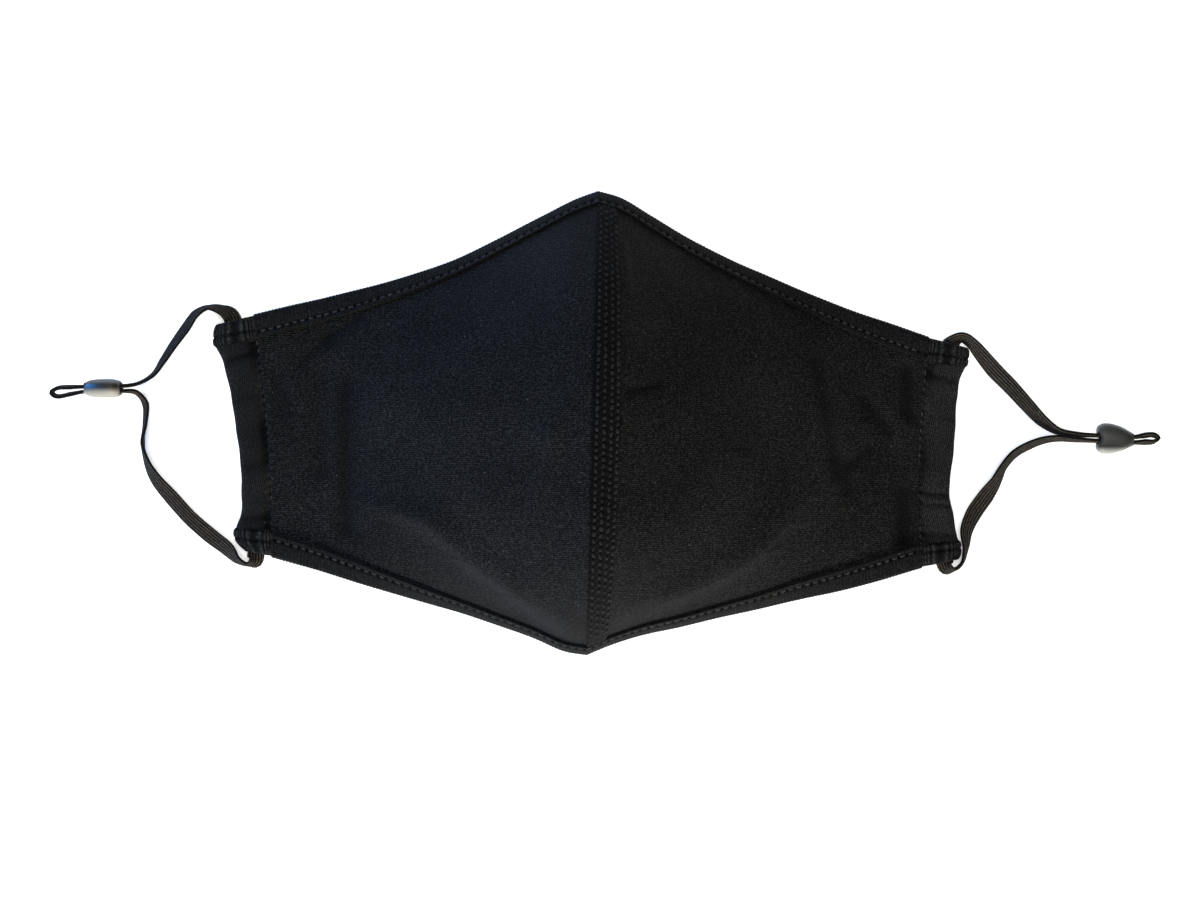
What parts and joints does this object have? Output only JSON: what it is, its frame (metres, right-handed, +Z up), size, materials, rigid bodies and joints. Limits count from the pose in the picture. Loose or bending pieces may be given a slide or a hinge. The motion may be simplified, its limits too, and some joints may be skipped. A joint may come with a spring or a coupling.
{
  "type": "cloth face mask",
  "caption": "Two-panel black cloth face mask with a curved centre seam, ribbed edge binding and elastic ear loops that adjust with silicone toggles.",
  "frame": {"origin": "under the middle of the cloth body, on the surface that the mask lies on", "axes": "+X along the width towards the right ear loop as seen from above, +Y towards the nose point, +Z up out of the outer face"},
  "size_m": [0.3334, 0.139, 0.0427],
  "materials": {
    "black_jersey": "matt black cotton jersey with fine knit rows",
    "ribbed_binding": "matt black ribbed knit tape",
    "seam_tape": "matt black tape with cover stitches",
    "flat_elastic": "dark grey braided elastic with lengthwise ribs",
    "grey_silicone": "smoky silicone with a soft gloss"
  },
  "bodies": {
    "root": {"panel_left": "black_jersey", "panel_right": "black_jersey", "centre_seam_band": "seam_tape", "binding_top": "ribbed_binding", "binding_bottom": "ribbed_binding", "casing_left": "black_jersey", "casing_right": "black_jersey", "ear_loop_left": "flat_elastic", "ear_loop_right": "flat_elastic", "toggle_left": "grey_silicone", "toggle_right": "grey_silicone"}
  },
  "joints": []
}
